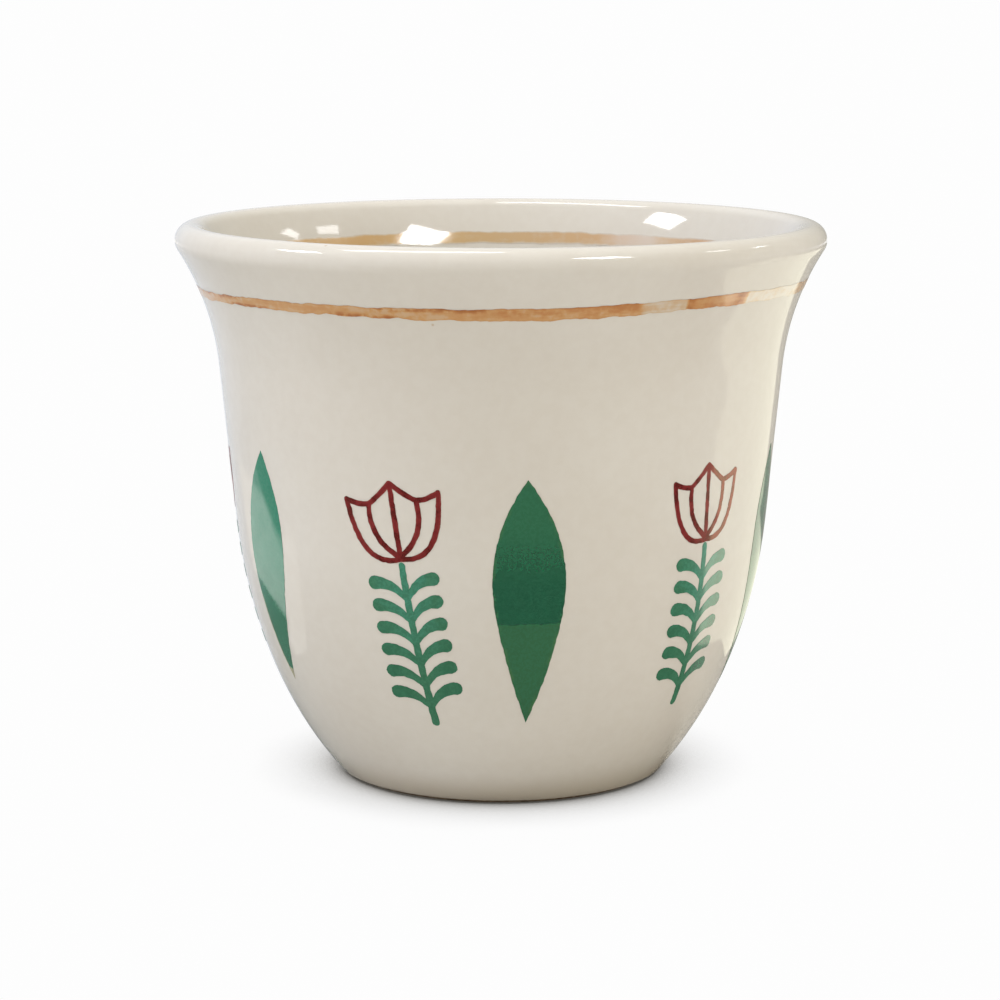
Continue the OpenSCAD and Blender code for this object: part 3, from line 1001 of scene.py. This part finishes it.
# Room: the glaze is a mirror too, and this is what it shows and nothing else sees: a dim room and
# table, a window and lit table on the right, a pale cloth on the left, and ceiling lights. The edges
# of these cards are in mm.
room_r = 0.9
room_table_r = 0.6
room_table_h = 0.00006
room_front = (0.07, 0.065, 0.055, 1)
room_left = (0.21, 0.23, 0.23, 1)
room_back_left = (0.7, 0.74, 0.8, 1)
room_right = (0.42, 0.41, 0.37, 1)
front_end_left = (-0.75, 0)
front_end_right = (-0.25, -0.02)
back_left_start = (0.3, 0.95)
room_middle = (-0.3, 0.3)
window_tone = (1, 0.98, 0.8, 1)
window_strength = 1.3
window_x = 0.09
sill_x = 0.08
table_card_h = 0.0003
window_edge = [(-6, 9.5), (-6, 18), (0, 23), (0, 31), (6, 35), (115, 35), (115, 0), (17, 0), (12, 3), (8, 5),
               (3, 8), (-2, 9)]
sill_edge = [(-5, 0), (-5, 10), (15, 10), (15, 0)]
table_edge = [(44, -5), (45, 5), (46, 13), (37, 23), (37, 100), (90, 100), (90, -3), (63, -4)]
cloth_tone = (0.98, 0.98, 0.94, 1)
cloth_strength = 0.8
cloth_x = -0.06
cloth_edge = [(-7, 0), (-9.6, 7.1), (-11.5, 12.7), (-9.2, 15), (-2, 14.3), (1.8, 16), (4.4, 17.8),
              (8.3, 19.3), (15.5, 20.1), (40, 21), (40, 4), (24.3, 3.5), (21, 2.3), (14, 0)]
cloth_foot_edge = [(-42, -5), (-49, -6.5), (-60, -7), (-60, 14), (-57, 9.7), (-53.9, 3.9), (-45.8, 4.9),
                   (-41.4, 1.9)]
ceiling_white = (1, 1, 1, 1)

# Each ceiling light's edge in mm as seen from the cup, its place, its turn and rise in degrees, and
# its strength
ceiling = [([(73, -34), (45, 48), (-78, 24), (-38, -39)], (0.229, -0.261, 0.383), 39.6, 41.3, 24),
           ([(72, 17), (4, 41), (-74, -19), (-1, -41)], (-0.355, 0.0015, 0.386), -86.4, 41.5, 24),
           ([(46, -1), (-30, 29), (-47, -3), (31, -24)], (0.383, 0.02, 0.349), 89.5, 36.2, 8),
           ([(49, -14), (12, 13), (-32, 11), (-29, -10)], (0.387, 0.16, 0.3), 108.7, 29.5, 8),
           ([(-135, -50), (135, -50), (135, 50), (-135, 50)], (-0.13, 0.085, 0.555), 0, 90, 8)]


def mirrored_only(piece, name, colour, strength=1):
    """Makes a piece of the room glow, and lets only the reflections see it."""
    material, wire, _ = finish(name)
    shown(wire, wire.node("ShaderNodeEmission", {}, {"Color": colour, "Strength": strength}))
    piece.name = name
    piece.data.materials.append(material)
    piece.visible_camera = False
    piece.visible_diffuse = False
    piece.visible_transmission = False
    piece.visible_shadow = False
    return wire


def polygon(name, edge, turn, location):
    """A flat card with an edge drawn in mm, turned and set in its place."""
    traced(name, [Vector(point) / mm_per_m for point in edge + edge[:1]])
    bpy.ops.mesh.remove_doubles(threshold=weld_gap)
    bpy.ops.mesh.edge_face_add()
    bpy.ops.object.mode_set(mode="OBJECT")
    card = bpy.context.object
    card.rotation_euler = turn
    card.location = location
    bpy.ops.object.transform_apply(location=True, rotation=True)
    return card


# The room and its table have their tone by the direction from the cup in which each part lies
for name in ("room", "table"):
    if name == "room":
        bpy.ops.mesh.primitive_uv_sphere_add(radius=room_r)
    else:
        bpy.ops.mesh.primitive_circle_add(radius=room_table_r, fill_type="NGON",
                                          location=(0, 0, room_table_h))
        bpy.ops.object.transform_apply(location=True)
    wire = mirrored_only(bpy.context.object, name, room_front)
    place = wire.node("ShaderNodeTexCoord", {}, {}, "Object")
    way = wire.node("ShaderNodeVectorMath", {"operation": "NORMALIZE"}, {0: place})
    sides, depths = (way.part(axis) for axis in "XY")
    left = depths.range(*back_left_start).mix(room_left, room_back_left)
    left = depths.range(*front_end_left).mix(room_front, left)
    right = depths.range(*front_end_right).mix(room_front, room_right)
    feed(sides.range(*room_middle).mix(left, right), wire.tree.nodes["Emission"], "Color")

sideways = (0, 0, math.pi / 2)
flat = (-math.pi / 2, 0, 0)
on_table = (0, 0, table_card_h)
for name, edge, way, place, tone, strength in (
        ("window", window_edge, sideways, (window_x, 0, 0), window_tone, window_strength),
        ("sill", sill_edge, sideways, (sill_x, 0, 0), window_tone, window_strength),
        ("lit_table", table_edge, flat, on_table, window_tone, window_strength),
        ("left_cloth", cloth_edge, sideways, (cloth_x, 0, 0), cloth_tone, cloth_strength),
        ("left_cloth_foot", cloth_foot_edge, flat, on_table, cloth_tone, cloth_strength)):
    mirrored_only(polygon(name, edge, way, place), name, tone, strength)
for i, (edge, place, turn, rise, strength) in enumerate(ceiling):
    light = polygon("light", edge, (-math.radians(rise), 0, math.radians(turn)), place)
    mirrored_only(light, f"ceiling_light_{i + 1}", ceiling_white, strength)

# Camera: it stands in front of the cup and looks a little down on it, through the long lens that was
# fitted to the ellipses of rim and foot.
cup_mid_h = 0.02822
camera_distance = 0.3
camera_elevation = 10.03
camera_drop = 0.00053
camera_side = -0.00009
camera_lens = 104.6
camera_film_w = 36
camera_near = 0.01

elevation = math.radians(camera_elevation)
back = Vector((0, -math.cos(elevation), math.sin(elevation)))
up = Vector((0, math.sin(elevation), math.cos(elevation)))
spot = Vector((camera_side, 0, cup_mid_h)) + camera_distance * back - camera_drop * up
bpy.ops.object.camera_add(location=spot, rotation=(math.pi / 2 - elevation, 0, 0))
camera = bpy.context.object
camera.data.sensor_width = camera_film_w
camera.data.lens = camera_lens
camera.data.clip_start = camera_near
bpy.context.scene.camera = camera
bpy.context.scene.view_settings.view_transform = "Standard"
